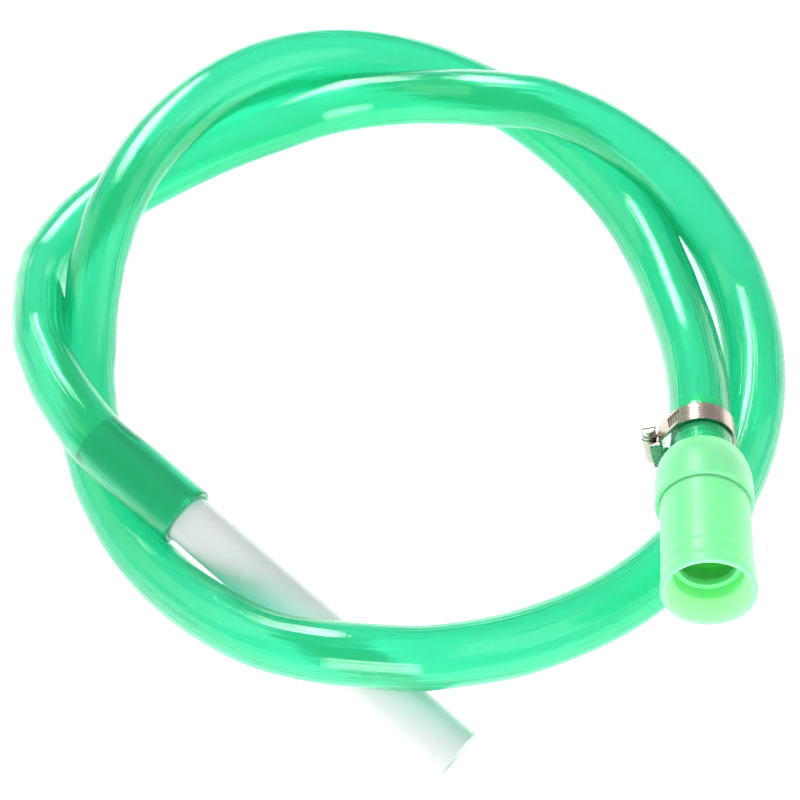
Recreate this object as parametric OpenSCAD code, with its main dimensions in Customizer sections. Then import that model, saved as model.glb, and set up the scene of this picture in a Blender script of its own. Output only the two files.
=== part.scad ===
// Self-priming siphon: ball-valve head, hose clamp, coiled hose and outlet pipe.
// Millimetres. The origin is the centre of the open edge of the inlet socket,
// +Y runs back along the head (seen from above), +Z is up, and the hose lies
// on a surface socket_h below the origin.

/* [Hose] */
// Outside diameter of the hose
hose_d = 25; // [24:0.5:25]
// Bore of the hose
hose_bore = 20; // [19:0.5:20.5]

/* [Outlet pipe] */
// Outside diameter of the rigid outlet pipe
pipe_d = 20; // [19:0.5:20]
// Wall thickness of the outlet pipe
pipe_wall = 1.2; // [1:0.1:2]
// Length of pipe pushed into the hose
pipe_insert = 49; // [40:1:55]

/* [Valve head] */
// Height of the inlet socket's centre above the surface
socket_h = 57.5; // [57:0.5:60]
// Upward tilt of the mouth in degrees
head_pitch = 15; // [14:0.5:16]
// Diameter of the inlet barrel
barrel_d = 34.2; // [33.6:0.1:34.6]
// Diameter of the rim around the mouth
rim_d = 35.4; // [35.2:0.1:38]
// Diameter of the collar on the neck shell
collar_d = 37.7; // [37:0.1:40]
// Diameter of the socket inside the mouth
socket_d = 26; // [24:0.5:27]
// Diameter of the inlet throat
throat_d = 22; // [20:0.5:22]
// Diameter of the ball chamber
chamber_d = 28.4; // [28:0.1:28.8]
// Diameter of the valve ball
ball_d = 25; // [24.5:0.1:25.5]
// Bore through the spigot
spigot_bore = 15; // [12:0.5:16]

/* [Clamp] */
// Width of the clamp band
band_w = 9; // [8:0.5:9]
// Thickness of the clamp band
band_t = 0.7; // [0.5:0.1:0.7]
// Position of the screw housing around the hose, in degrees
clamp_angle = 196; // [190:1:205]
// Diameter of the screw head's collar
screw_head_d = 6.8; // [6:0.1:7.4]

/* [Hidden] */
$fn = 96;

// Stations along the head, measured from the spigot's tip towards the mouth
z_shoulder = 28;              // the hose's end butts here
z_guard = 37;                 // back of the barrel and of the ball guard
z_ball = 55.2;                // centre of the ball at rest on its guard
z_skirt = 53;                 // front edge of the collar
z_throat = 80;                // back of the throat, where the seat starts
z_ledge = 83;                 // floor of the socket
z_socket = 88;                // open edge of the socket, the origin
z_mouth = 97;                 // plane of the mouth
clamp_z = 13;                 // middle of the clamp band
seal_z = 45;                  // middle of the seal's groove

barrel_r = barrel_d / 2;
skirt_r = barrel_r + 0.05;
chamber_r = chamber_d / 2;
throat_r = throat_d / 2;
spigot_r = 9.3;
barb_r = 10.2;
seat_angle = 20;
z_seat = z_throat - (chamber_r - throat_r) / tan(seat_angle);
guard_top = z_ball - ball_d / 2 - 0.3;
seal_groove_r = 15.4;
seal_r = (skirt_r - seal_groove_r) / 2 - 0.01;

band_r = hose_d / 2 + 0.25;   // inside of the band
seat_x = 15;                  // distance of the band's flat from the hose's axis
seat_y = [-4, 8];             // ends of that flat
saddle_x = seat_x + band_t + 0.05;
tail_x = saddle_x + band_t + 0.05;
screw_r = 2.6;
screw_x = tail_x + band_t + screw_r + 0.12;
housing_y = [-3.6, 8.4];

// The hose's route over the surface: x, y, and the lift of its centre line
// above the place it has when it lies flat
route = [
    [0, 96, 19.5], [-4, 130, 10], [-14, 167, 2.5], [-28, 200, 0], [-50, 230, 0], [-80, 257, 0],
    [-114, 276, 1], [-146, 281, 6], [-177, 273, 14], [-205, 253, 21], [-226, 225, 26],
    [-242, 194, 27.5], [-250, 165, 26], [-252, 138, 19], [-251, 111, 7], [-249, 81, 1],
    [-241, 51, 0], [-228, 25, 0], [-208, 2, 3], [-184, -18, 13], [-158, -32.5, 22.5],
    [-128, -36.5, 27], [-95, -31.5, 22], [-60, -14, 10.5], [-25, 11.5, 2], [5, 46, 0], [22, 87, 0],
    [26, 129, 0], [18, 171, 1], [-1, 204, 12], [-28, 224, 22], [-62, 239, 26.5], [-97, 245, 22],
    [-130, 251.5, 10], [-163, 251, 2.5], [-197, 236.5, 0.5], [-234, 213, 0], [-264, 184.5, 1],
    [-280, 148, 6.5], [-279.5, 118.5, 16.5], [-268, 88, 25.5], [-241.5, 53.1, 25.9],
    [-219.7, 37.5, 21.9], [-198, 22, 18]];
// Free end of the outlet pipe: x, y, and the lift of its centre line above flat
pipe_tip = [-86, -58, 0.2];

floor_z = -socket_h;
axis_back = [0, cos(head_pitch), -sin(head_pitch)];
hose_points = concat([axis_back * (z_socket - z_shoulder)],
    [for (p = route) [p.x, p.y, floor_z + hose_d / 2 + p.z]]);
hose_end = hose_points[len(hose_points) - 1];
tip = [pipe_tip.x, pipe_tip.y, floor_z + pipe_d / 2 + pipe_tip.z];
pipe_dir = (tip - hose_end) / norm(tip - hose_end);

function unit(v) = v / norm(v);
function spline(a, b, c, d, t) =
    (2 * b + (c - a) * t + (2 * a - 5 * b + 4 * c - d) * t ^ 2 + (3 * b - a - 3 * c + d) * t ^ 3) / 2;
function no_lower(p, z) = [p.x, p.y, max(p.z, z)];
// Points along a smooth curve through p, two to a span; the end of the list only steers it
function smooth(p, z) = concat([p[0]],
    [for (i = [1 : len(p) - 3], t = [0, 0.5]) no_lower(spline(p[i - 1], p[i], p[i + 1], p[i + 2], t), z)],
    [p[len(p) - 2]]);
function direction(p, i) = unit(p[min(i + 1, len(p) - 1)] - p[max(i - 1, 0)]);
function ring(p, d, r, n) = let (s = unit(cross(d, [0, 0, 1])), u = cross(s, d))
    [for (k = [0 : n - 1]) p + r * (cos(360 * k / n) * s + sin(360 * k / n) * u)];
function arc(x, z, rx, rz, from, to, n) =
    [for (k = [0 : n]) let (a = from + (to - from) * k / n) [x + rx * cos(a), z + rz * sin(a)]];

// A pipe with a bore along the points p, with n sides
module swept_pipe(p, r_out, r_in, n) {
    m = len(p);
    rings = [for (i = [0 : m - 1]) let (d = direction(p, i))
        concat(ring(p[i], d, r_out, n), ring(p[i], d, r_in, n))];
    points = [for (g = rings, v = g) v];
    function at(i, k, inner) = i * 2 * n + (inner ? n : 0) + k % n;
    walls = [for (i = [0 : m - 2], k = [0 : n - 1])
        each [[at(i, k, false), at(i, k + 1, false), at(i + 1, k + 1, false), at(i + 1, k, false)],
              [at(i, k, true), at(i + 1, k, true), at(i + 1, k + 1, true), at(i, k + 1, true)]]];
    ends = [for (k = [0 : n - 1])
        each [[at(0, k, false), at(0, k, true), at(0, k + 1, true), at(0, k + 1, false)],
              [at(m - 1, k, false), at(m - 1, k + 1, false), at(m - 1, k + 1, true), at(m - 1, k, true)]]];
    polyhedron(points, concat(walls, ends), convexity = 10);
}

// Puts the head's own axis, spigot tip to mouth, in the object's frame
module on_head() {
    rotate([90 - head_pitch, 0, 0]) translate([0, 0, -z_socket]) children();
}

// The clamp's screw side: x away from the hose, y along the screw
module on_clamp() {
    on_head() translate([0, 0, clamp_z]) rotate([0, 0, clamp_angle]) children();
}

module along_y(from, to, r) {
    translate([0, from, 0]) rotate([-90, 0, 0]) cylinder(r = r, h = to - from);
}

module block(x, y, z) {
    translate([x[0], y[0], z[0]]) cube([x[1] - x[0], y[1] - y[0], z[1] - z[0]]);
}

// Everything inside the clamp's outline when the band lies r from the hose's axis
module belt(r, w) {
    x = seat_x + r - band_r;
    function touch(y, side) = let (a = atan2(y, x) + side * acos(r / norm([x, y]))) [r * cos(a), r * sin(a)];
    cylinder(r = r, h = w, center = true);
    translate([0, 0, -w / 2]) linear_extrude(w)
        polygon([[0, 0], touch(seat_y[0], -1), [x, seat_y[0]], [x, seat_y[1]], touch(seat_y[1], 1)]);
}

module neck_shell() {
    color("#8cf5a4") on_head() difference() {
        rotate_extrude() polygon(concat(
            [[spigot_bore / 2, 0], [8.9, 0], [barb_r, 6], [spigot_r, 6.3], [spigot_r, 7.5], [barb_r, 13],
             [spigot_r, 13.3], [spigot_r, 14.5], [barb_r, 20], [spigot_r, 20.3], [spigot_r, z_shoulder]],
            arc(12.8, 44, collar_d / 2 - 12.8, 44 - z_shoulder, -90, 0, 14),
            arc(collar_d / 2 - 1, z_skirt - 1, 1, 1, 0, 90, 5),
            [[skirt_r, z_skirt], [skirt_r, z_guard - 0.2], [chamber_r, z_guard - 0.2],
             [spigot_bore / 2, z_shoulder - 2]]));
    }
}

module inlet_barrel() {
    color("#7df79a") on_head() difference() {
        rotate_extrude() polygon(concat(
            [[chamber_r, z_guard], [barrel_r, z_guard], [barrel_r, seal_z - 1.1],
             [seal_groove_r, seal_z - 1.1], [seal_groove_r, seal_z + 1.1], [barrel_r, seal_z + 1.1],
             [barrel_r, 84], [barrel_r + 0.25, 85.2], [barrel_r + 0.25, 91], [rim_d / 2, 93.4]],
            arc(rim_d / 2 - 0.8, z_mouth - 0.8, 0.8, 0.8, 0, 90, 5),
            [[16.2, z_mouth], [socket_d / 2, z_socket], [socket_d / 2, z_ledge], [throat_r, z_ledge],
             [throat_r, z_throat], [chamber_r, z_seat]]));
    }
}

module valve_ball() {
    color("#b9b4aa") on_head() translate([0, 0, z_ball]) sphere(d = ball_d);
}

// A ring with three arms that stops the ball short of the spigot
module ball_guard() {
    color("#6fbf6a") on_head() translate([0, 0, z_guard]) {
        h = guard_top - z_guard;
        difference() {
            cylinder(r = chamber_r - 0.05, h = h);
            translate([0, 0, -1]) cylinder(r = chamber_r - 1.8, h = h + 2);
        }
        for (a = [90, 210, 330]) rotate([0, 0, a]) block([0, chamber_r - 1], [-1, 1], [h - 2.6, h]);
        translate([0, 0, h - 2.6]) cylinder(r = 2.6, h = 2.6);
    }
}

module shell_seal() {
    color("#30342f") on_head() translate([0, 0, seal_z])
        rotate_extrude() translate([seal_groove_r + seal_r + 0.005, 0]) circle(r = seal_r);
}

module hose() {
    color("#1fd98f") swept_pipe(smooth(concat(hose_points, [hose_end + 40 * pipe_dir]), floor_z + hose_d / 2),
        hose_d / 2, hose_bore / 2, 12);
}

module clamp_band() {
    color("#b8b4b0") on_clamp() {
        difference() {
            belt(band_r + band_t, band_w);
            belt(band_r, band_w + 1);
        }
        // the slotted tail comes out of the housing and lies on the band
        difference() {
            belt(band_r + 2 * band_t, band_w);
            belt(band_r + band_t, band_w + 1);
            rotate([0, 0, -64]) block([-30, 30], [-60, 0], [-20, 20]);
            block([0, 30], [housing_y[0] - 0.05, 40], [-20, 20]);
            block([-30, 5], [0, 40], [-20, 20]);
            for (k = [0 : 4]) rotate([0, 0, -60 + 5.4 * k]) rotate([8, 0, 0])
                block([band_r + band_t + 0.1, 20], [-0.55, 0.55], [-3, 3]);
        }
        // the tail steps up to run on under the screw
        wide = [-band_w / 2, band_w / 2];
        block([tail_x - 0.3, tail_x + band_t], [housing_y[0] - 0.35, housing_y[0] - 0.05], wide);
        block([tail_x, tail_x + band_t], housing_y + [-0.35, 1.6], wide);
        // two raised ribs across the band
        for (a = [-127, -134]) rotate([0, 0, a]) translate([band_r + band_t - 0.1, 0, 0])
            block([0, 0.45], [-0.4, 0.4], [-band_w / 2 + 0.6, band_w / 2 - 0.6]);
    }
}

module clamp_saddle() {
    color("#a9a6a2") on_clamp() difference() {
        inside = band_w / 2 + 0.15;
        block([saddle_x, saddle_x + 3], housing_y, [-inside - 0.75, inside + 0.75]);
        block([saddle_x + band_t, saddle_x + 4], housing_y + [-1, 1], [-inside, inside]);
    }
}

module clamp_housing() {
    wide = band_w / 2 + 1.7;
    color("#c4c0bb") on_clamp() difference() {
        union() {
            translate([screw_x, 0, 0]) along_y(housing_y[0], housing_y[1], screw_r + 0.95);
            block([saddle_x + 0.4, screw_x], housing_y, [-screw_r - 0.95, screw_r + 0.95]);
            block([saddle_x + 0.4, saddle_x + 4.2], housing_y, [-wide, wide]);
        }
        translate([screw_x, 0, 0]) along_y(housing_y[0] - 1, housing_y[1] + 1, screw_r + 0.08);
        block([tail_x, screw_x], housing_y + [-1, 1], [-screw_r - 0.08, screw_r + 0.08]);
        block([0, saddle_x + 3.1], housing_y + [-1, 1], [-band_w / 2 - 0.95, band_w / 2 + 0.95]);
        for (s = [-1, 1]) translate([screw_x + 2.4, housing_y[1] + 2, 0]) rotate([0, 0, 38])
            block([-1.5, 8], [-3, 9], [-9, 9]);
    }
}

module clamp_screw() {
    turns = 5;
    pitch = 2;
    color("#9a9490") on_clamp() translate([screw_x, 0, 0]) rotate([-90, 0, 0]) difference() {
        rotate_extrude() polygon(concat(
            [[0, -7.4], [2.6, -7.4], [2.95, -7.1], [2.95, -4.9], [screw_head_d / 2, -4.9],
             [screw_head_d / 2, -4], [2.1, -4], [2.1, -3]],
            [for (k = [0 : turns - 1]) each [[screw_r, -2.6 + pitch * k], [screw_r, -1.9 + pitch * k],
             [2.1, -1.4 + pitch * k]]],
            [[2.1, housing_y[1] + 0.6], [1.6, housing_y[1] + 1], [0, housing_y[1] + 1]]));
        block([-4, 4], [-0.5, 0.5], [-8, -6.2]);
        for (a = [0 : 60 : 300]) rotate([0, 0, a]) block([2.75, 5], [-4, 4], [-8, -5]);
    }
}

module outlet_pipe() {
    start = hose_end - pipe_insert * pipe_dir;
    length = norm(tip - start);
    lean = [0, acos(pipe_dir.z), atan2(pipe_dir.y, pipe_dir.x)];
    color("#dfe5e0", 0.6) translate(start) rotate(lean) difference() {
        cylinder(r = pipe_d / 2, h = length);
        translate([0, 0, -1]) cylinder(r = pipe_d / 2 - pipe_wall, h = length + 2);
    }
}

neck_shell();
inlet_barrel();
valve_ball();
ball_guard();
shell_seal();
hose();
clamp_band();
clamp_saddle();
clamp_housing();
clamp_screw();
outlet_pipe();
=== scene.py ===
# Self-priming siphon: coiled green hose, valve head with its worm clamp, clear outlet pipe
import math

import bpy
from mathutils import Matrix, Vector


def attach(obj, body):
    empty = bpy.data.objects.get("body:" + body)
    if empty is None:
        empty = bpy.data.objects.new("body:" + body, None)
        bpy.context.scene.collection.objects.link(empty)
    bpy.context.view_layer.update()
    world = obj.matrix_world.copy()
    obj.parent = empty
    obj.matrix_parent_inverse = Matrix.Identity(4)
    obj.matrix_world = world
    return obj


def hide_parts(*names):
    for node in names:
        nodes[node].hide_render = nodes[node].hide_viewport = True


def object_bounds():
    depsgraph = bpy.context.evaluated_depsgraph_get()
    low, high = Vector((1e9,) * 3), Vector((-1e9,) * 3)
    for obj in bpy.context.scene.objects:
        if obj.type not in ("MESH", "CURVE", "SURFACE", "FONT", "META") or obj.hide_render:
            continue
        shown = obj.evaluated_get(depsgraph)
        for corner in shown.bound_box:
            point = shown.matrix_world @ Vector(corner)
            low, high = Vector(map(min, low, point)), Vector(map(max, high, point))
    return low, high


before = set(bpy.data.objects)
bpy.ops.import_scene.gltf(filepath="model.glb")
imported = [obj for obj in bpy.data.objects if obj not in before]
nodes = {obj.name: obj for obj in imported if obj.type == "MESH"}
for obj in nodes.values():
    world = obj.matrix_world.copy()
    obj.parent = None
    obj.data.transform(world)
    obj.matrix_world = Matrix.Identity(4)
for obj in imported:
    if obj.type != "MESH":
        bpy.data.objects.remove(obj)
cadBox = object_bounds()
floorHeight = cadBox[0][2]
print("frame loaded, floor at", round(floorHeight, 4))


# camera, in front of the mouth and well above it
cameraSetup = {
    "focus": (-0.122, 0.1033, -0.0575),
    "elevation": 57.0,
    "turn": 5.0,       # degrees off the head's own line
    "distance": 0.8,
    "lens": 85.0,
    "sensor": 36.0,
    "farthest": 50.0,
}


def addCamera(setup):
    data = bpy.data.cameras.new("siphonCamera")
    data.lens = setup["lens"]
    data.sensor_width = setup["sensor"]
    data.clip_end = setup["farthest"]
    camera = bpy.data.objects.new("siphonCamera", data)
    bpy.context.collection.objects.link(camera)
    up = math.radians(setup["elevation"])
    turn = math.radians(setup["turn"])
    away = Vector((math.sin(turn) * math.cos(up), -math.cos(turn) * math.cos(up), math.sin(up)))
    focus = Vector(setup["focus"])
    camera.location = focus + setup["distance"] * away
    camera.rotation_euler = (-away).to_track_quat("-Z", "Y").to_euler()
    bpy.context.scene.camera = camera
    return camera


addCamera(cameraSetup)
print("camera placed")


# node helpers shared by every material
def newMaterial(name):
    material = bpy.data.materials.new(name)
    material.use_nodes = True
    tree = material.node_tree
    tree.nodes.clear()
    output = tree.nodes.new("ShaderNodeOutputMaterial")
    return material, tree, output


def addNode(tree, kind, **values):
    node = tree.nodes.new(kind)
    for key, value in values.items():
        setattr(node, key, value)
    return node


def link(tree, source, target):
    tree.links.new(source, target)


def setSockets(node, values):
    for name, value in values.items():
        node.inputs[name].default_value = value


def scaledCoords(tree, source, scale):
    mapping = addNode(tree, "ShaderNodeMapping")
    mapping.inputs["Scale"].default_value = scale
    link(tree, source, mapping.inputs["Vector"])
    return mapping.outputs["Vector"]


def noise(tree, vector, scale, detail=3.0, roughness=0.5):
    node = addNode(tree, "ShaderNodeTexNoise")
    setSockets(node, {"Scale": scale, "Detail": detail, "Roughness": roughness})
    link(tree, vector, node.inputs["Vector"])
    return node.outputs["Fac"]


def remap(tree, source, low, high, fromLow=0.3, fromHigh=0.7):
    node = addNode(tree, "ShaderNodeMapRange")
    setSockets(node, {"From Min": fromLow, "From Max": fromHigh, "To Min": low, "To Max": high})
    link(tree, source, node.inputs["Value"])
    return node.outputs["Result"]


def bump(tree, height, distance, strength=1.0, normal=None):
    node = addNode(tree, "ShaderNodeBump")
    setSockets(node, {"Distance": distance, "Strength": strength})
    link(tree, height, node.inputs["Height"])
    if normal is not None:
        link(tree, normal, node.inputs["Normal"])
    return node.outputs["Normal"]


def blendColours(tree, factor, first, second):
    # first and second are plain colours or another node's output
    node = addNode(tree, "ShaderNodeMix", data_type="RGBA")
    link(tree, factor, node.inputs[0])
    for socket, colour in ((node.inputs[6], first), (node.inputs[7], second)):
        if isinstance(colour, tuple):
            socket.default_value = (*colour, 1.0)
        else:
            link(tree, colour, socket)
    return node.outputs[2]


def blendShaders(tree, factor, first, second):
    node = addNode(tree, "ShaderNodeMixShader")
    link(tree, factor, node.inputs[0])
    link(tree, first, node.inputs[1])
    link(tree, second, node.inputs[2])
    return node.outputs[0]


def principled(tree, values, colour=None, roughness=None, normal=None):
    # uniform values go on the sockets, the varying ones are linked
    node = addNode(tree, "ShaderNodeBsdfPrincipled")
    setSockets(node, values)
    for name, source in (("Base Color", colour), ("Roughness", roughness), ("Normal", normal)):
        if source is not None:
            link(tree, source, node.inputs[name])
    return node.outputs[0]


def vectorMath(tree, operation, first, second):
    node = addNode(tree, "ShaderNodeVectorMath", operation=operation)
    link(tree, first, node.inputs[0])
    if isinstance(second, Vector):
        node.inputs[1].default_value = tuple(second)
    else:
        link(tree, second, node.inputs[1])
    return node.outputs["Value" if operation == "DOT_PRODUCT" else "Vector"]


def objectCoords(tree):
    return addNode(tree, "ShaderNodeTexCoord").outputs["Object"]


def namedVector(tree, name):
    return addNode(tree, "ShaderNodeAttribute", attribute_name=name).outputs["Vector"]


def faceNormal(tree):
    return addNode(tree, "ShaderNodeNewGeometry").outputs["True Normal"]


def nearEdge(tree, fromFacing):
    # 0 face on, rising to 1 where the surface is seen edge on
    facing = addNode(tree, "ShaderNodeLayerWeight").outputs["Facing"]
    return remap(tree, facing, 0.0, 1.0, fromFacing, 1.0)


def beyond(tree, start, direction, softness):
    # 0 behind the start point, 1 ahead of it along the direction
    along = vectorMath(tree, "DOT_PRODUCT", objectCoords(tree), direction)
    at = start.dot(direction)
    return remap(tree, along, 0.0, 1.0, at - softness, at + softness)


def lampsPassThrough(tree, surface, tint):
    # lamps shine through the clear plastic instead of leaving it in its own shadow
    path = addNode(tree, "ShaderNodeLightPath")
    clear = addNode(tree, "ShaderNodeBsdfTransparent")
    clear.inputs["Color"].default_value = (*tint, 1.0)
    return blendShaders(tree, path.outputs["Is Shadow Ray"], surface, clear.outputs[0])


# hose: one swept tube with a real wall, along the route it lies on
# route points are x, y and the lift of the centre line above lying flat
hoseSpec = {
    "diameter": 0.025,
    "bore": 0.0203,
    "boreOverSpigot": 0.0207,
    "spigotReach": 0.030,
    "sides": 56,
    "ringSpacing": 0.004,
    "stepsPerSpan": 24,
    "steerBeyondEnd": 0.04,     # the hose's end runs on in line with the pipe
    "rimRound": 0.0005,
    "spigotEase": 0.006,
    "clampAt": 0.015,       # middle of the clamp band from the hose's end
    "clampHalf": 0.0045,
    "clampNip": 0.0003,
    "clampEase": 0.002,
    "closeRings": 31,       # a millimetre apart, along the spigot and the clamp
    "closeSpacing": 0.001,
    "route": [
        (0.000, 0.096, 0.0195), (-0.004, 0.130, 0.01), (-0.014, 0.167, 0.0025),
        (-0.028, 0.200, 0.0), (-0.050, 0.230, 0.0), (-0.080, 0.257, 0.0), (-0.114, 0.276, 0.001),
        (-0.146, 0.281, 0.006), (-0.177, 0.273, 0.014), (-0.205, 0.253, 0.021),
        (-0.226, 0.225, 0.026), (-0.242, 0.194, 0.0275), (-0.250, 0.165, 0.026),
        (-0.252, 0.138, 0.019), (-0.251, 0.111, 0.007), (-0.249, 0.081, 0.001),
        (-0.241, 0.051, 0.0), (-0.228, 0.025, 0.0), (-0.208, 0.002, 0.003),
        (-0.184, -0.018, 0.013), (-0.158, -0.0325, 0.0225), (-0.128, -0.0365, 0.027),
        (-0.095, -0.0315, 0.022), (-0.060, -0.014, 0.0105), (-0.025, 0.0115, 0.002),
        (0.005, 0.046, 0.0), (0.022, 0.087, 0.0), (0.026, 0.129, 0.0), (0.018, 0.171, 0.001),
        (-0.001, 0.204, 0.012), (-0.028, 0.224, 0.022), (-0.062, 0.239, 0.0265),
        (-0.097, 0.245, 0.022), (-0.130, 0.2515, 0.01), (-0.163, 0.251, 0.0025),
        (-0.197, 0.2365, 0.0005), (-0.234, 0.213, 0.0), (-0.264, 0.1845, 0.001),
        (-0.280, 0.148, 0.0065), (-0.2795, 0.1185, 0.0165), (-0.268, 0.088, 0.0255),
        (-0.2415, 0.0531, 0.0259), (-0.2197, 0.0375, 0.0219), (-0.198, 0.022, 0.018)],
    "pipeTip": (-0.086, -0.058, 0.0002),
    "pipeDiameter": 0.020,
    # where bends flatten or spread the hose: place along the route, then how much it
    # draws in (or, below zero, bulges) on the coil's outer and inner side
    "flats": [
        (0.0, 0, 0), (1.5, -0.0004, 0.0007), (2.0, -0.0012, 0.0015), (2.8, -0.0024, 0.0012),
        (4.0, -0.0012, 0.0010), (5.0, -0.0006, 0.0013), (6.0, 0.0009, 0), (7.0, 0.0019, -0.0010),
        (8.0, 0.0027, -0.0026),
        (9.0, 0.0024, -0.0026), (10.0, 0.0018, -0.0008), (11.5, 0.0020, 0), (12.4, 0.0006, 0.0011),
        (13.0, -0.0013, 0.0026), (13.8, -0.0015, 0.0040), (14.4, -0.0008, 0.0033),
        (15.0, 0, 0.0014), (15.4, 0, 0), (16.0, 0.0015, 0), (17.0, 0.0036, 0),
        (18.0, 0.0038, -0.0014), (19.0, 0.0036, -0.0014),
        (20.0, 0.0038, -0.0010), (21.0, 0.0026, -0.0012), (22.0, 0.0016, -0.0008), (23.0, 0, 0),
        (28.0, 0, -0.0008), (29.0, 0.0034, -0.0030), (30.0, 0.0044, -0.0018), (30.8, 0.0040, -0.0010),
        (31.4, 0.0016, 0), (32.0, 0, 0), (32.4, -0.0006, 0.0011), (33.0, -0.0012, 0.0028),
        (34.0, -0.0028, 0.0015), (35.0, -0.0028, 0), (36.4, -0.0008, -0.0014), (37.2, 0.0006, -0.0008),
        (38.0, 0.0022, 0), (38.5, 0.0045, -0.0015), (39.0, 0.0057, -0.0024), (39.5, 0.0052, -0.0022),
        (40.0, 0.0036, -0.0005), (40.5, 0.0018, 0), (41.2, 0.0012, 0), (41.8, 0, 0)],
}
headSpec = {
    "pitch": 15.0,             # upward tilt of the mouth
    "originFromTip": 0.088,    # socket's edge from the spigot's tip
    "shoulderFromTip": 0.028,
}


def headPoint(alongFromTip, right=0.0, up=0.0):
    pitch = math.radians(headSpec["pitch"])
    ahead = alongFromTip - headSpec["originFromTip"]
    return Vector((right, up * math.sin(pitch) - ahead * math.cos(pitch),
                   up * math.cos(pitch) + ahead * math.sin(pitch)))


def splinePoint(a, b, c, d, t):
    return (2 * b + (c - a) * t + (2 * a - 5 * b + 4 * c - d) * t ** 2
            + (3 * b - a - 3 * c + d) * t ** 3) / 2


def pipeDirection(spec, hoseEnd):
    tip = Vector(spec["pipeTip"])
    tip.z += floorHeight + spec["pipeDiameter"] / 2
    return (tip - hoseEnd).normalized()


def hoseCentreline(spec):
    lowest = floorHeight + spec["diameter"] / 2
    points = [headPoint(headSpec["shoulderFromTip"])]
    points += [Vector((x, y, lowest + lift)) for x, y, lift in spec["route"]]
    end = points[-1]
    steer = points + [end + spec["steerBeyondEnd"] * pipeDirection(spec, end)]
    fine, places = [points[0]], [-1.0]
    stepsPerSpan = spec["stepsPerSpan"]
    for i in range(1, len(steer) - 2):
        for k in range(stepsPerSpan):
            p = splinePoint(steer[i - 1], steer[i], steer[i + 1], steer[i + 2], k / stepsPerSpan)
            p.z = max(p.z, lowest)
            fine.append(p)
            places.append(i - 1 + k / stepsPerSpan)
    fine.append(end)
    places.append(len(points) - 2.0)
    return fine, places


def ease(x):
    x = min(max(x, 0.0), 1.0)
    return x * x * (3 - 2 * x)


def drawnIn(spec, place):
    flats = spec["flats"]
    if place <= flats[0][0] or place >= flats[-1][0]:
        return 0.0, 0.0
    i = max(k for k in range(len(flats) - 1) if flats[k][0] <= place)
    part = ease((place - flats[i][0]) / (flats[i + 1][0] - flats[i][0]))
    return tuple(a + part * (b - a) for a, b in zip(flats[i][1:], flats[i + 1][1:]))


def evenlySpaced(points, places, spacing):
    lengths = [0.0]
    for a, b in zip(points, points[1:]):
        lengths.append(lengths[-1] + (b - a).length)
    total = lengths[-1]
    count = round(total / spacing)
    result, spots, j = [], [], 0
    for i in range(count + 1):
        s = total * i / count
        while j < len(lengths) - 2 and lengths[j + 1] < s:
            j += 1
        span = lengths[j + 1] - lengths[j]
        part = (s - lengths[j]) / span
        result.append(points[j].lerp(points[j + 1], part))
        spots.append(places[j] + part * (places[j + 1] - places[j]))
    return result, spots, total


def hoseRadii(spec, s, total):
    outer = spec["diameter"] / 2
    inner = spec["bore"] / 2
    # wider over the spigot, nipped in under the clamp band
    onSpigot = 1 - ease((s - spec["spigotReach"]) / spec["spigotEase"])
    inner += onSpigot * (spec["boreOverSpigot"] - spec["bore"]) / 2
    fromClamp = abs(s - spec["clampAt"])
    outer -= spec["clampNip"] * (1 - ease((fromClamp - spec["clampHalf"]) / spec["clampEase"]))
    return outer, inner


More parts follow.
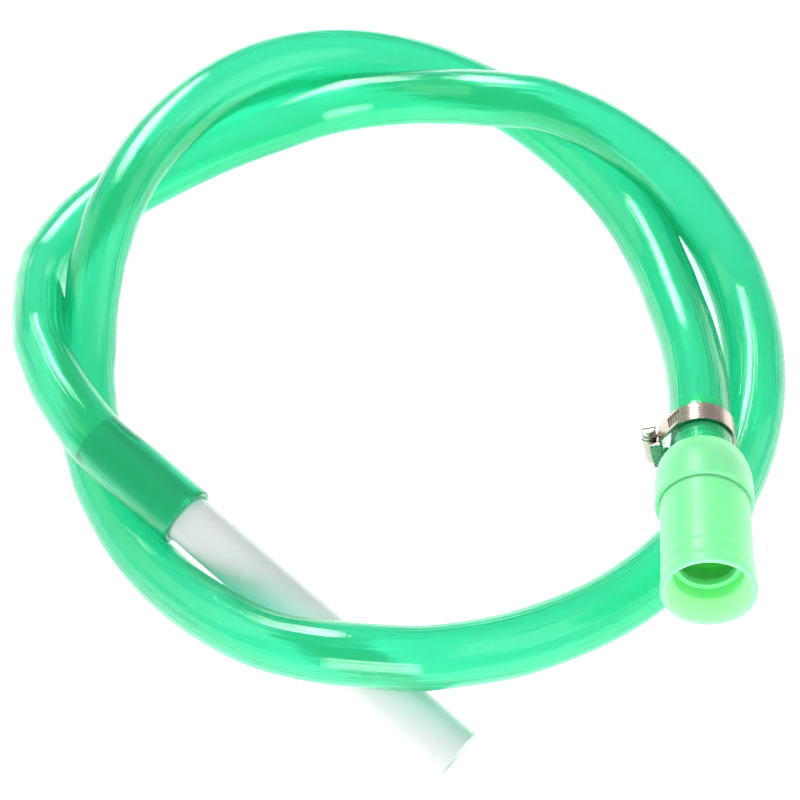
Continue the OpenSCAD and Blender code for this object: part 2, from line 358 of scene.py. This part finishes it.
def buildHose(spec):
    fine, places = hoseCentreline(spec)
    path, spots, total = evenlySpaced(fine, places, spec["ringSpacing"])
    sides = spec["sides"]
    spacing = total / (len(path) - 1)
    rings = []      # centre, direction, radius, distance along, how far drawn in
    rimRound = spec["rimRound"]
    rimPart = 0.3 * rimRound

    def direction(i):
        return (path[min(i + 1, len(path) - 1)] - path[max(i - 1, 0)]).normalized()

    def ringAt(s, radius):
        i = min(int(s / spacing), len(path) - 2)
        part = s / spacing - i
        centre = path[i].lerp(path[i + 1], part)
        along = direction(i).lerp(direction(i + 1), part).normalized()
        spot = spots[i] + part * (spots[i + 1] - spots[i])
        rings.append((centre, along, radius, s, drawnIn(spec, spot)))

    def outerAt(s):
        return hoseRadii(spec, s, total)[0]

    def innerAt(s):
        return hoseRadii(spec, s, total)[1]

    # close rings follow the clamp's nip near the start
    closeRings, closeSpacing = spec["closeRings"], spec["closeSpacing"]
    stations = [k * closeSpacing for k in range(1, closeRings + 1)]
    firstWide = int(closeRings * closeSpacing / spacing) + 1
    stations += [i * spacing for i in range(firstWide, len(path) - 1)]
    ringAt(0.0, outerAt(0) - rimRound)
    ringAt(rimPart, outerAt(0) - rimPart)
    for s in stations:
        ringAt(s, outerAt(s))
    ringAt(total - rimRound, outerAt(total))
    ringAt(total - rimPart, outerAt(total) - rimPart)
    ringAt(total, outerAt(total) - rimRound)
    ringAt(total, innerAt(total) + rimRound)
    ringAt(total - rimPart, innerAt(total) + rimPart)
    ringAt(total - rimRound, innerAt(total))
    for s in reversed(stations):
        ringAt(s, innerAt(s))
    ringAt(0.0, innerAt(0))

    verts, faces, space = [], [], []
    for centre, along, radius, s, (outside, inside) in rings:
        side = along.cross(Vector((0, 0, 1))).normalized()
        up = side.cross(along)
        centre = centre + side * (inside - outside) / 2
        across = radius - (inside + outside) / 2
        for k in range(sides):
            angle = 2 * math.pi * k / sides
            verts.append(centre + across * math.cos(angle) * side + radius * math.sin(angle) * up)
            space.append((math.cos(angle), math.sin(angle), s))
    for i in range(len(rings)):
        j = (i + 1) % len(rings)
        for k in range(sides):
            m = (k + 1) % sides
            faces.append((i * sides + k, j * sides + k, j * sides + m, i * sides + m))
    mesh = bpy.data.meshes.new("coiledHose")
    mesh.from_pydata([tuple(v) for v in verts], [], faces)
    attribute = mesh.attributes.new("hoseSpace", "FLOAT_VECTOR", "POINT")
    for i, value in enumerate(space):
        attribute.data[i].vector = value
    mesh.shade_smooth()
    mesh.update()
    hose = bpy.data.objects.new("coiledHose", mesh)
    bpy.context.collection.objects.link(hose)
    return hose, path, total


pvcLook = {
    "body": (0.0, 0.42, 0.165),
    "bodyPale": (0.03, 0.62, 0.32),
    # painted shade at the hose's outline, where the wall is seen edge on
    "rim": (0.0, 0.29, 0.12),
    "surfaceTint": (0.84, 1.0, 0.925),
    "shadowTint": (0.99, 0.99, 0.99),
    "wallColour": (0.02, 0.85, 0.735),
    "wallDensity": 500.0,
    "cloudiness": (0.24, 0.60),     # face on, and at the very edge
    "rimFrom": 0.80,
    "ior": 1.46,
    "roughness": (0.03, 0.10),
    "streakStretch": (3.0, 3.0, 1.6),       # across, across, along
    "streakScale": 2.2,
    "streakBump": (0.0006, 0.5),            # depth and strength
    "fineStreakStretch": (9.0, 9.0, 5.0),
    "fineStreakScale": 2.0,
    "fineStreakBump": (0.0002, 0.4),
}


def greenPvc(look):
    material, tree, output = newMaterial("greenPvc")
    where = namedVector(tree, "hoseSpace")
    # die lines run the length of the hose
    streaks = noise(tree, scaledCoords(tree, where, look["streakStretch"]),
                    look["streakScale"], detail=4.0)
    fineStreaks = noise(tree, scaledCoords(tree, where, look["fineStreakStretch"]),
                        look["fineStreakScale"], detail=2.0)
    softBump = bump(tree, streaks, *look["streakBump"])
    surface = bump(tree, fineStreaks, *look["fineStreakBump"], softBump)
    roughness = remap(tree, fineStreaks, *look["roughness"])
    clear = principled(tree, {"IOR": look["ior"], "Transmission Weight": 1.0,
                              "Base Color": (*look["surfaceTint"], 1.0)}, None, roughness, surface)

    # painted shade: where the wall is seen edge on at the hose's outline, its colour is blended to a
    # dark rim colour, standing in for the thick, dark look of the wall there
    edgeOn = nearEdge(tree, look["rimFrom"])
    body = blendColours(tree, streaks, look["body"], look["bodyPale"])
    cloudy = principled(tree, {"IOR": look["ior"]}, blendColours(tree, edgeOn, body, look["rim"]),
                        roughness, surface)
    wall = blendShaders(tree, remap(tree, edgeOn, *look["cloudiness"], 0.0, 1.0), clear, cloudy)
    link(tree, lampsPassThrough(tree, wall, look["shadowTint"]), output.inputs["Surface"])

    absorb = addNode(tree, "ShaderNodeVolumeAbsorption")
    setSockets(absorb, {"Color": (*look["wallColour"], 1.0), "Density": look["wallDensity"]})
    link(tree, absorb.outputs[0], output.inputs["Volume"])
    return material


hose, hosePath, hoseLength = buildHose(hoseSpec)
hose.data.materials.append(greenPvc(pvcLook))
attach(hose, "siphon")
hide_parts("hose")
print("hose laid,", round(hoseLength, 3), "m")


def dress(nodeName, material):
    mesh = nodes[nodeName].data
    mesh.materials.clear()
    mesh.materials.append(material)


# clear rigid pipe, a little frosted by its extrusion
pipeLook = {
    "clear": (0.62, 0.64, 0.63),
    "cloudy": (0.56, 0.57, 0.565),
    # painted shade at the pipe's outline, where the wall is seen edge on
    "rim": (0.20, 0.22, 0.21),
    "cutEnd": (0.16, 0.18, 0.17),
    "clearShadedInHose": (0.30, 0.62, 0.45),      # painted shade, tinted green, where the pipe sits inside the hose
    "cloudyShadedInHose": (0.01, 0.20, 0.09),
    "shadowTint": (0.955, 0.965, 0.96),
    "rimFrom": 0.62,
    "ior": 1.46,
    "cloudiness": (0.6, 0.9),               # wall, sawn end
    "clearRoughness": (0.30, 0.40),
    "cloudyRoughness": (0.18, 0.30),
    "inHoseShadeEdge": 0.0006,
    "sawnFacing": (0.80, 0.95),             # how squarely a face looks along the pipe
    "cloudScale": 60.0,
    "grainScale": 900.0,
    "grainBump": (0.0001, 0.3),
}


def frostedPipe(look):
    material, tree, output = newMaterial("frostedPipe")
    where = objectCoords(tree)
    hoseEnd = hosePath[-1]
    along = pipeDirection(hoseSpec, hoseEnd)
    # free is 1 beyond the hose's end; inside the hose the pipe gets painted shade
    free = beyond(tree, hoseEnd, along, look["inHoseShadeEdge"])
    # the sawn end is rough and greyer than the wall
    endOn = vectorMath(tree, "DOT_PRODUCT", faceNormal(tree), along)
    sawn = remap(tree, endOn, 0.0, 1.0, *look["sawnFacing"])
    cloud = noise(tree, where, look["cloudScale"], detail=3.0)
    grain = noise(tree, where, look["grainScale"], detail=2.0)
    surface = bump(tree, grain, *look["grainBump"])

    clear = principled(tree, {"IOR": look["ior"], "Transmission Weight": 1.0},
                       blendColours(tree, free, look["clearShadedInHose"], look["clear"]),
                       remap(tree, cloud, *look["clearRoughness"]), surface)
    tone = blendColours(tree, free, look["cloudyShadedInHose"], look["cloudy"])
    # painted shade: faces seen edge on are darkened towards the pipe's outline
    tone = blendColours(tree, nearEdge(tree, look["rimFrom"]), tone, look["rim"])
    tone = blendColours(tree, sawn, tone, look["cutEnd"])
    cloudy = principled(tree, {"IOR": look["ior"]}, tone,
                        remap(tree, cloud, *look["cloudyRoughness"]), surface)
    wall = blendShaders(tree, remap(tree, sawn, *look["cloudiness"], 0.0, 1.0), clear, cloudy)
    link(tree, lampsPassThrough(tree, wall, look["shadowTint"]), output.inputs["Surface"])
    return material


dress("outlet_pipe", frostedPipe(pipeLook))
print("pipe done")


# moulded head: pale green, satin, slightly cloudy
headLook = {
    "shell": (0.21, 0.76, 0.33),
    "shellDeep": (0.18, 0.72, 0.29),
    # painted light inside the flared mouth
    "mouth": (0.44, 0.92, 0.50),
    "guard": (0.08, 0.50, 0.12),
    "roughness": (0.32, 0.42),
    "guardRoughness": (0.30, 0.45),
    "ior": 1.48,
    "glowDepth": 0.006,
    "glowRadius": (0.5, 1.0, 0.6),
    "mouthStart": 0.002,        # behind the socket's edge
    "mouthEase": 0.004,
    "mouthRadius": 0.006,
    "cloudScale": 45.0,
    "grainScale": 1400.0,
    "grainBump": (0.00008, 0.35),
}


def paintedLightInMouth(tree, look):
    # 1 on the faces in front of the socket's edge that look in towards the head's axis, where the
    # mouth's painted light goes
    where = objectCoords(tree)
    forwards = headPoint(1.0 + headSpec["originFromTip"])
    mouth = beyond(tree, -look["mouthStart"] * forwards, forwards, look["mouthEase"])
    outward = vectorMath(tree, "SUBTRACT", where, vectorMath(tree, "PROJECT", where, forwards))
    facingOut = vectorMath(tree, "DOT_PRODUCT", outward, faceNormal(tree))
    both = addNode(tree, "ShaderNodeMath", operation="MULTIPLY")
    link(tree, mouth, both.inputs[0])
    link(tree, remap(tree, facingOut, 1.0, 0.0, -look["mouthRadius"], 0.0), both.inputs[1])
    return both.outputs[0]


def mouldedPlastic(name, look, colour, deepColour, roughness, subsurface):
    material, tree, output = newMaterial(name)
    where = objectCoords(tree)
    cloud = noise(tree, where, look["cloudScale"], detail=3.0)
    grain = noise(tree, where, look["grainScale"], detail=2.0)
    tone = blendColours(tree, cloud, colour, deepColour)
    # painted light: inside the flared mouth the colour is paler, standing in for light coming through
    # the wall
    tone = blendColours(tree, paintedLightInMouth(tree, look), tone, look["mouth"])
    values = {"IOR": look["ior"], "Subsurface Weight": subsurface,
              "Subsurface Scale": look["glowDepth"], "Subsurface Radius": look["glowRadius"]}
    shader = principled(tree, values, tone, remap(tree, cloud, *roughness),
                        bump(tree, grain, *look["grainBump"]))
    link(tree, shader, output.inputs["Surface"])
    return material


shellPlastic = mouldedPlastic("mouldedGreen", headLook, headLook["shell"], headLook["shellDeep"],
                              headLook["roughness"], subsurface=0.9)
guardPlastic = mouldedPlastic("guardGreen", headLook, headLook["guard"], headLook["guard"],
                              headLook["guardRoughness"], subsurface=0.1)
dress("neck_shell", shellPlastic)
dress("inlet_barrel", shellPlastic)
dress("ball_guard", guardPlastic)
print("head dressed")


steelGrain = {
    "scale": 500.0,
    "stainScale": 180.0,
    "bumpStrength": 0.5,
}
# metal: colour, darker stains, stretch of the grain, roughness and depth of the grain
steelLook = {
    "brushedBand": ((0.52, 0.44, 0.39), (0.38, 0.32, 0.28), (1.0, 6.0, 1.0), (0.18, 0.34), 0.00006),
    "platedScrew": ((0.58, 0.55, 0.50), (0.42, 0.40, 0.36), (1.0, 1.0, 1.0), (0.2, 0.4), 0.00006),
    "ballSteel": ((0.50, 0.33, 0.20), (0.40, 0.25, 0.15), (1.0, 1.0, 1.0), (0.08, 0.2), 0.00002),
}
steelParts = {
    "clamp_band": "brushedBand",
    "clamp_saddle": "brushedBand",
    "clamp_housing": "brushedBand",
    "clamp_screw": "platedScrew",
    "valve_ball": "ballSteel",
}


def steel(name, look):
    colour, darkColour, stretch, roughness, depth = look
    material, tree, output = newMaterial(name)
    where = objectCoords(tree)
    grain = noise(tree, scaledCoords(tree, where, stretch), steelGrain["scale"],
                  detail=4.0, roughness=0.6)
    stain = noise(tree, where, steelGrain["stainScale"], detail=3.0)
    shader = principled(tree, {"Metallic": 1.0}, blendColours(tree, stain, colour, darkColour),
                        remap(tree, grain, *roughness),
                        bump(tree, grain, depth, steelGrain["bumpStrength"]))
    link(tree, shader, output.inputs["Surface"])
    return material


steels = {name: steel(name, look) for name, look in steelLook.items()}
for nodeName, steelName in steelParts.items():
    dress(nodeName, steels[steelName])


sealLook = {
    "dark": (0.02, 0.02, 0.02),
    "worn": (0.05, 0.05, 0.05),
    "roughness": (0.5, 0.7),
    "speckScale": 1200.0,
    "speckBump": (0.0001, 0.3),
}


def sealRubber(look):
    material, tree, output = newMaterial("sealRubber")
    speck = noise(tree, objectCoords(tree), look["speckScale"])
    shader = principled(tree, {}, blendColours(tree, speck, look["dark"], look["worn"]),
                        remap(tree, speck, *look["roughness"]),
                        bump(tree, speck, *look["speckBump"]))
    link(tree, shader, output.inputs["Surface"])
    return material


dress("shell_seal", sealRubber(sealLook))
print("metal and rubber done")


# studio: glowing white floor, a bright box behind and above, one in front, weak ones at the sides
studio = {
    "floorSize": 8.0,
    "floorColour": (0.93, 0.93, 0.93),
    "floorGlow": 0.70,
    "coilMiddle": (-0.127, 0.13),
    "worldStrength": 0.52,
    "clearSurfaces": 32,        # how many clear walls a lamp's light may cross
    "lamps": [
        # name, place from the coil's middle, width, depth, watts
        ("backBox", (-0.40, 0.98, 0.98), 0.40, 0.80, 17.0),
        ("leftBox", (-1.1, 0.1, 0.7), 1.0, 1.0, 4.0),
        ("rightBox", (1.1, 0.0, 0.7), 1.0, 1.0, 4.0),
        ("frontBox", (0.1, -1.2, 0.45), 0.9, 0.5, 15.0),
    ],
}


def addFloor(setup):
    half = setup["floorSize"] / 2
    mesh = bpy.data.meshes.new("studioFloor")
    mesh.from_pydata([(-half, -half, floorHeight), (half, -half, floorHeight),
                      (half, half, floorHeight), (-half, half, floorHeight)], [], [(0, 1, 2, 3)])
    floor = bpy.data.objects.new("studioFloor", mesh)
    bpy.context.collection.objects.link(floor)
    material, tree, output = newMaterial("paleFloor")
    shader = principled(tree, {"Base Color": (*setup["floorColour"], 1.0), "Roughness": 0.9,
                               "Specular IOR Level": 0.0, "Emission Color": (1.0, 1.0, 1.0, 1.0),
                               "Emission Strength": setup["floorGlow"]})
    link(tree, shader, output.inputs["Surface"])
    mesh.materials.append(material)


def addLamps(setup):
    middle = Vector((*setup["coilMiddle"], floorHeight))
    for name, place, width, depth, watts in setup["lamps"]:
        data = bpy.data.lights.new(name, "AREA")
        data.shape = "RECTANGLE"
        data.size = width
        data.size_y = depth
        data.energy = watts
        lamp = bpy.data.objects.new(name, data)
        lamp.location = middle + Vector(place)
        lamp.rotation_euler = (-Vector(place)).to_track_quat("-Z", "Y").to_euler()
        bpy.context.collection.objects.link(lamp)
    world = bpy.data.worlds.new("studioWorld")
    world.use_nodes = True
    background = world.node_tree.nodes["Background"]
    background.inputs["Color"].default_value = (1.0, 1.0, 1.0, 1.0)
    background.inputs["Strength"].default_value = setup["worldStrength"]
    bpy.context.scene.world = world
    bpy.context.scene.view_settings.view_transform = "Standard"
    bpy.context.scene.cycles.transparent_max_bounces = setup["clearSurfaces"]


addFloor(studio)
addLamps(studio)
print("studio ready")
